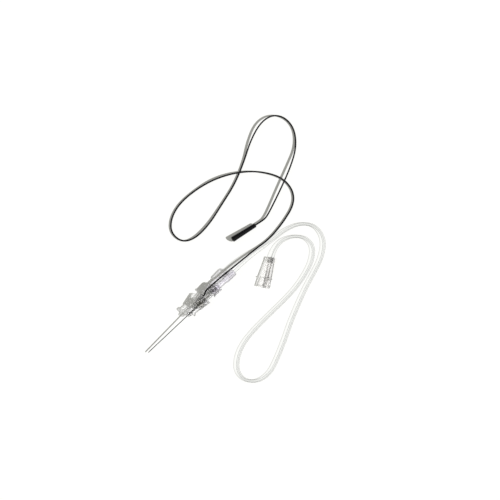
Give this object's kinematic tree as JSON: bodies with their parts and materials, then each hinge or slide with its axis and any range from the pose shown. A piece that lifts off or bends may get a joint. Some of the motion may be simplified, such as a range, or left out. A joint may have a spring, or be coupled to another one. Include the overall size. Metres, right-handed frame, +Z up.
{
  "type": "nerve stimulation needle",
  "caption": "Insulated nerve stimulation needle with a clear hub, a screw-on injection line and a black electric lead with its plug, laid out ready for use.",
  "frame": {"origin": "on the surface it lies on, under the middle of the needle with its hub and connector", "axes": "+Z up; +X along the needle from its tip to the connector, seen from above; +Y to the left of that"},
  "size_m": [0.2482, 0.1809, 0.0118],
  "materials": {
    "needle_steel": "satin",
    "needle_coat": "thin clear coat",
    "hub_plastic": "clear, faint lilac",
    "adhesive": "cured clear adhesive",
    "strand_metal": "tinned strand",
    "solder": "dull solder",
    "connector_plastic": "clear",
    "collar_plastic": "clear",
    "line_plastic": "clear, soft",
    "port_plastic": "clear, faint pink",
    "lead_jacket": "black, slightly glossy",
    "plug_plastic": "black, satin",
    "contact_metal": "plated"
  },
  "bodies": {
    "hub": {"needle_hub": "hub_plastic", "cannula": "needle_steel", "needle_coating": "needle_coat", "cannula_seal": "adhesive", "contact_winding": "strand_metal", "solder_joint": "solder", "lead_sealant": "adhesive", "lead_wire": "lead_jacket", "plug_body": "plug_plastic", "plug_contact": "contact_metal", "crimped_strand": "strand_metal"},
    "connector": {"luer_spigot": "connector_plastic", "extension_tube": "line_plastic", "injection_port": "port_plastic"},
    "collar": {"locking_collar": "collar_plastic"}
  },
  "joints": [
    {"name": "connector_slide", "type": "slide", "parent": "hub", "child": "connector", "axis": [0.9989, 0, 0.0463], "range_m": [0, 0.0025]},
    {"name": "collar_turn", "type": "hinge", "parent": "connector", "child": "collar", "pos_m": [0.03238, 0, 0.00651], "axis": [0.9989, 0, 0.0463], "range_deg": [0, 180]}
  ],
  "couplings": [
    {"joint": "collar_turn", "follows": "connector_slide", "rad_per_m": 1256.6}
  ]
}
